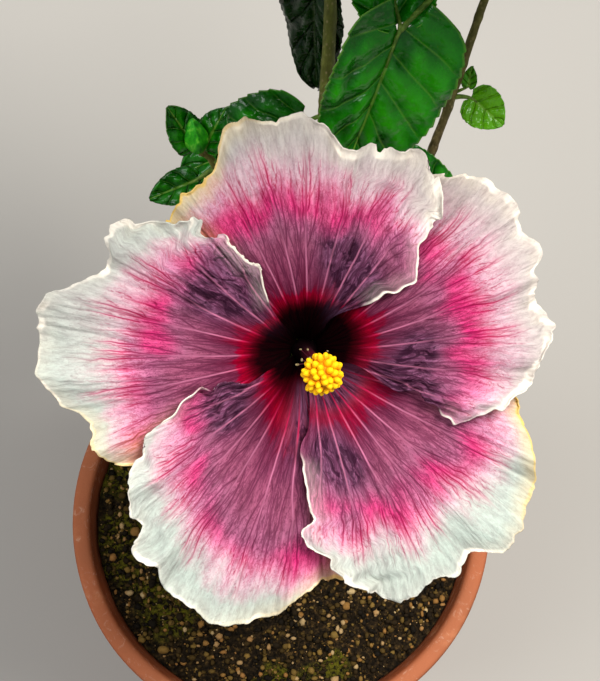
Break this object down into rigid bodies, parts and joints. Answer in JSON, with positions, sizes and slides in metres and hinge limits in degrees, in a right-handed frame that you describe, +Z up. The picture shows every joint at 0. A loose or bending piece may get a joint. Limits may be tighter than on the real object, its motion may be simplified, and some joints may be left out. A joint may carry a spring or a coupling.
{
  "type": "potted hibiscus shrub",
  "caption": "Small hibiscus shrub in a round clay pot, with forked stems, toothed leaves and one large ruffled bloom that faces up.",
  "frame": {"origin": "middle of the pot's flat underside", "axes": "+Z up, -Y towards the front, where the bloom leans; +X to the right seen from the front"},
  "size_m": [0.3122, 0.3978, 0.676],
  "materials": {
    "clay": "matte",
    "potting_mix": "matte",
    "bark": "matte",
    "leaf": "satin",
    "green_stalk": "satin",
    "petal": "matte",
    "column": "matte",
    "pollen": "matte"
  },
  "bodies": {
    "root": {"pot": "clay", "potting_soil": "potting_mix", "trunk": "bark", "bough_back": "bark", "bough_right": "bark", "bough_flower": "bark", "bough_left": "bark", "foliage_back": "leaf", "foliage_right": "leaf", "foliage_flower": "leaf", "foliage_left": "leaf", "foliage_low_right": "leaf", "foliage_low_left": "leaf", "foliage_low_front": "leaf", "flower_stalk": "green_stalk", "calyx": "green_stalk", "petal_top": "petal", "petal_right": "petal", "petal_lower_right": "petal", "petal_lower_left": "petal", "petal_upper_left": "petal", "staminal_column": "column", "anther_head": "pollen"}
  },
  "joints": []
}
